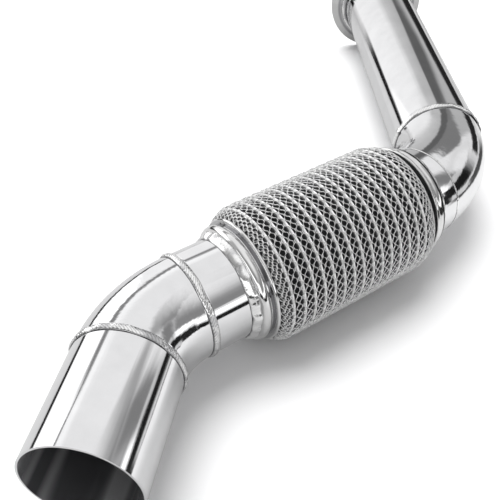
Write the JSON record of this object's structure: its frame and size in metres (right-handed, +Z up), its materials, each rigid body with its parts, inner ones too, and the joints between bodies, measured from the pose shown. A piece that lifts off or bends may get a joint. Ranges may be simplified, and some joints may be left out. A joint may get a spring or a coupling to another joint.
{
  "type": "turbo downpipe",
  "caption": "Polished steel downpipe with a clamp flange, long inlet pipe, tight elbow, flexible coupling under a knitted wire sleeve, and a bent outlet pipe.",
  "frame": {"origin": "centre of the inlet flange's sealing face, on the axis of the inlet bore", "axes": "+Y out of the inlet flange along its bore, +Z up as the part lies on its side, so all centrelines are in the plane Z = 0"},
  "size_m": [0.3682, 0.6517, 0.108],
  "materials": {
    "tube_steel": "polished",
    "turned_steel": "polished",
    "weld": "rippled",
    "wire": "knitted wire",
    "inner_steel": "plain"
  },
  "bodies": {
    "inlet_side": {"inlet_flange": "turned_steel", "flange_weld": "weld", "inlet_pipe": "tube_steel", "inlet_seam_weld": "weld", "inlet_bend": "tube_steel", "rear_link_weld": "weld", "rear_link_pipe": "tube_steel", "rear_cap_weld": "weld", "rear_end_cap": "turned_steel", "rear_support_ring": "inner_steel", "wire_mesh_sleeve": "wire", "bellows": "inner_steel", "interlock_liner": "inner_steel"},
    "outlet_side": {"front_support_ring": "inner_steel", "front_end_cap": "turned_steel", "front_cap_weld": "weld", "front_link_pipe": "tube_steel", "link_seam_weld": "weld", "outlet_bend": "tube_steel", "outlet_seam_weld": "weld", "outlet_pipe": "tube_steel"}
  },
  "joints": [
    {"name": "coupling_bend", "type": "hinge", "parent": "inlet_side", "child": "outlet_side", "pos_m": [-0.12098, -0.4457, 0], "axis": [0, 0, 1], "range_deg": [-8, 8], "stiffness_Nm_per_rad": 70, "deforming": ["wire_mesh_sleeve", "bellows", "interlock_liner"]}
  ]
}
